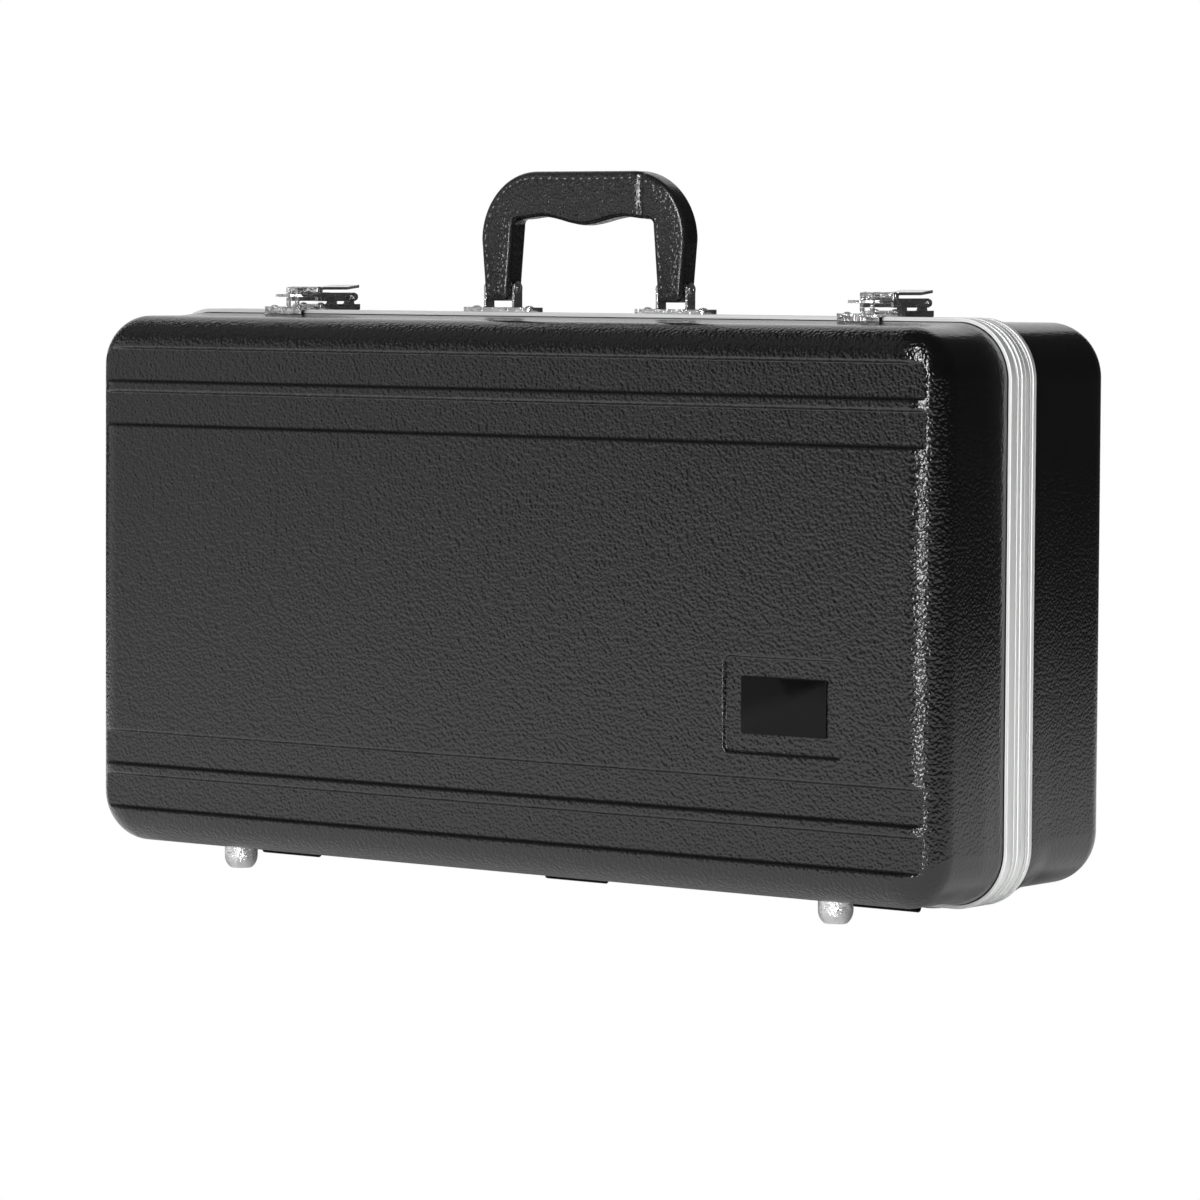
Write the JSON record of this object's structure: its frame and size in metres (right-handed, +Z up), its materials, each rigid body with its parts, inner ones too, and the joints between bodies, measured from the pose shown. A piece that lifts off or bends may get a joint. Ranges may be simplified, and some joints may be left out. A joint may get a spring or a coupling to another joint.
{
  "type": "trumpet case",
  "caption": "Hard moulded trumpet case with a hinged lid, ridged aluminium valance, hasp latches, folding carrying handle, feet and a fitted plush lining.",
  "frame": {"origin": "on the floor under the middle of the case, halfway between the lid's and the base's faces", "axes": "+X along the case to the end with the badge place, +Y from the lid to the base, +Z up to the handle"},
  "size_m": [0.54, 0.157, 0.3664],
  "materials": {
    "shell": "satin",
    "valance": "satin",
    "plated": "polished",
    "hinge": "gloss",
    "handle": "matte",
    "badge": "gloss",
    "lining": "matte",
    "spring": "satin"
  },
  "bodies": {
    "base": {"base_shell": "shell", "base_valance": "valance", "base_nest": "lining", "hinge_left_base_leaf": "hinge", "hinge_middle_base_leaf": "hinge", "hinge_right_base_leaf": "hinge", "hinge_left_pin": "hinge", "hinge_middle_pin": "hinge", "hinge_right_pin": "hinge", "base_foot_left": "plated", "base_foot_right": "plated", "latch_left_base": "plated", "latch_left_hasp_pin": "plated", "latch_left_base_rivet_left": "plated", "latch_left_base_rivet_right": "plated", "latch_right_base": "plated", "latch_right_hasp_pin": "plated", "latch_right_base_rivet_left": "plated", "latch_right_base_rivet_right": "plated", "handle_bracket_left": "plated", "handle_bracket_left_rivet_left": "plated", "handle_bracket_left_rivet_right": "plated", "handle_pin_left": "plated", "handle_bracket_right": "plated", "handle_bracket_right_rivet_left": "plated", "handle_bracket_right_rivet_right": "plated", "handle_pin_right": "plated"},
    "lid": {"lid_shell": "shell", "lid_valance": "valance", "lid_pad": "lining", "badge_plate": "badge", "hinge_left_lid_leaf": "hinge", "hinge_middle_lid_leaf": "hinge", "hinge_right_lid_leaf": "hinge", "lid_foot_left": "plated", "lid_foot_right": "plated", "latch_left_catch": "plated", "latch_left_catch_rivet_left": "plated", "latch_left_catch_rivet_right": "plated", "latch_right_catch": "plated", "latch_right_catch_rivet_left": "plated", "latch_right_catch_rivet_right": "plated"},
    "handle": {"handle_arch": "handle"},
    "left_hasp": {"latch_left_hasp": "plated", "latch_left_lever_pin": "plated", "latch_left_lever_spring": "spring"},
    "left_lever": {"latch_left_lever": "plated"},
    "right_hasp": {"latch_right_hasp": "plated", "latch_right_lever_pin": "plated", "latch_right_lever_spring": "spring"},
    "right_lever": {"latch_right_lever": "plated"}
  },
  "joints": [
    {"name": "lid_hinge", "type": "hinge", "parent": "base", "child": "lid", "pos_m": [0, -0.005, 0.005], "axis": [1, 0, 0], "range_deg": [0, 155]},
    {"name": "handle_hinge", "type": "hinge", "parent": "base", "child": "handle", "pos_m": [0, 0.0019, 0.3065], "axis": [1, 0, 0], "range_deg": [-90, 90]},
    {"name": "left_hasp_hinge", "type": "hinge", "parent": "base", "child": "left_hasp", "pos_m": [-0.184, 0.025, 0.3009], "axis": [1, 0, 0], "range_deg": [-95, 0]},
    {"name": "left_lever_hinge", "type": "hinge", "parent": "left_hasp", "child": "left_lever", "pos_m": [-0.184, -0.004, 0.3044], "axis": [1, 0, 0], "range_deg": [0, 50], "stiffness_Nm_per_rad": 0.05, "springref_deg": -17.19},
    {"name": "right_hasp_hinge", "type": "hinge", "parent": "base", "child": "right_hasp", "pos_m": [0.184, 0.025, 0.3009], "axis": [1, 0, 0], "range_deg": [-95, 0]},
    {"name": "right_lever_hinge", "type": "hinge", "parent": "right_hasp", "child": "right_lever", "pos_m": [0.184, -0.004, 0.3044], "axis": [1, 0, 0], "range_deg": [0, 50], "stiffness_Nm_per_rad": 0.05, "springref_deg": -17.19}
  ]
}
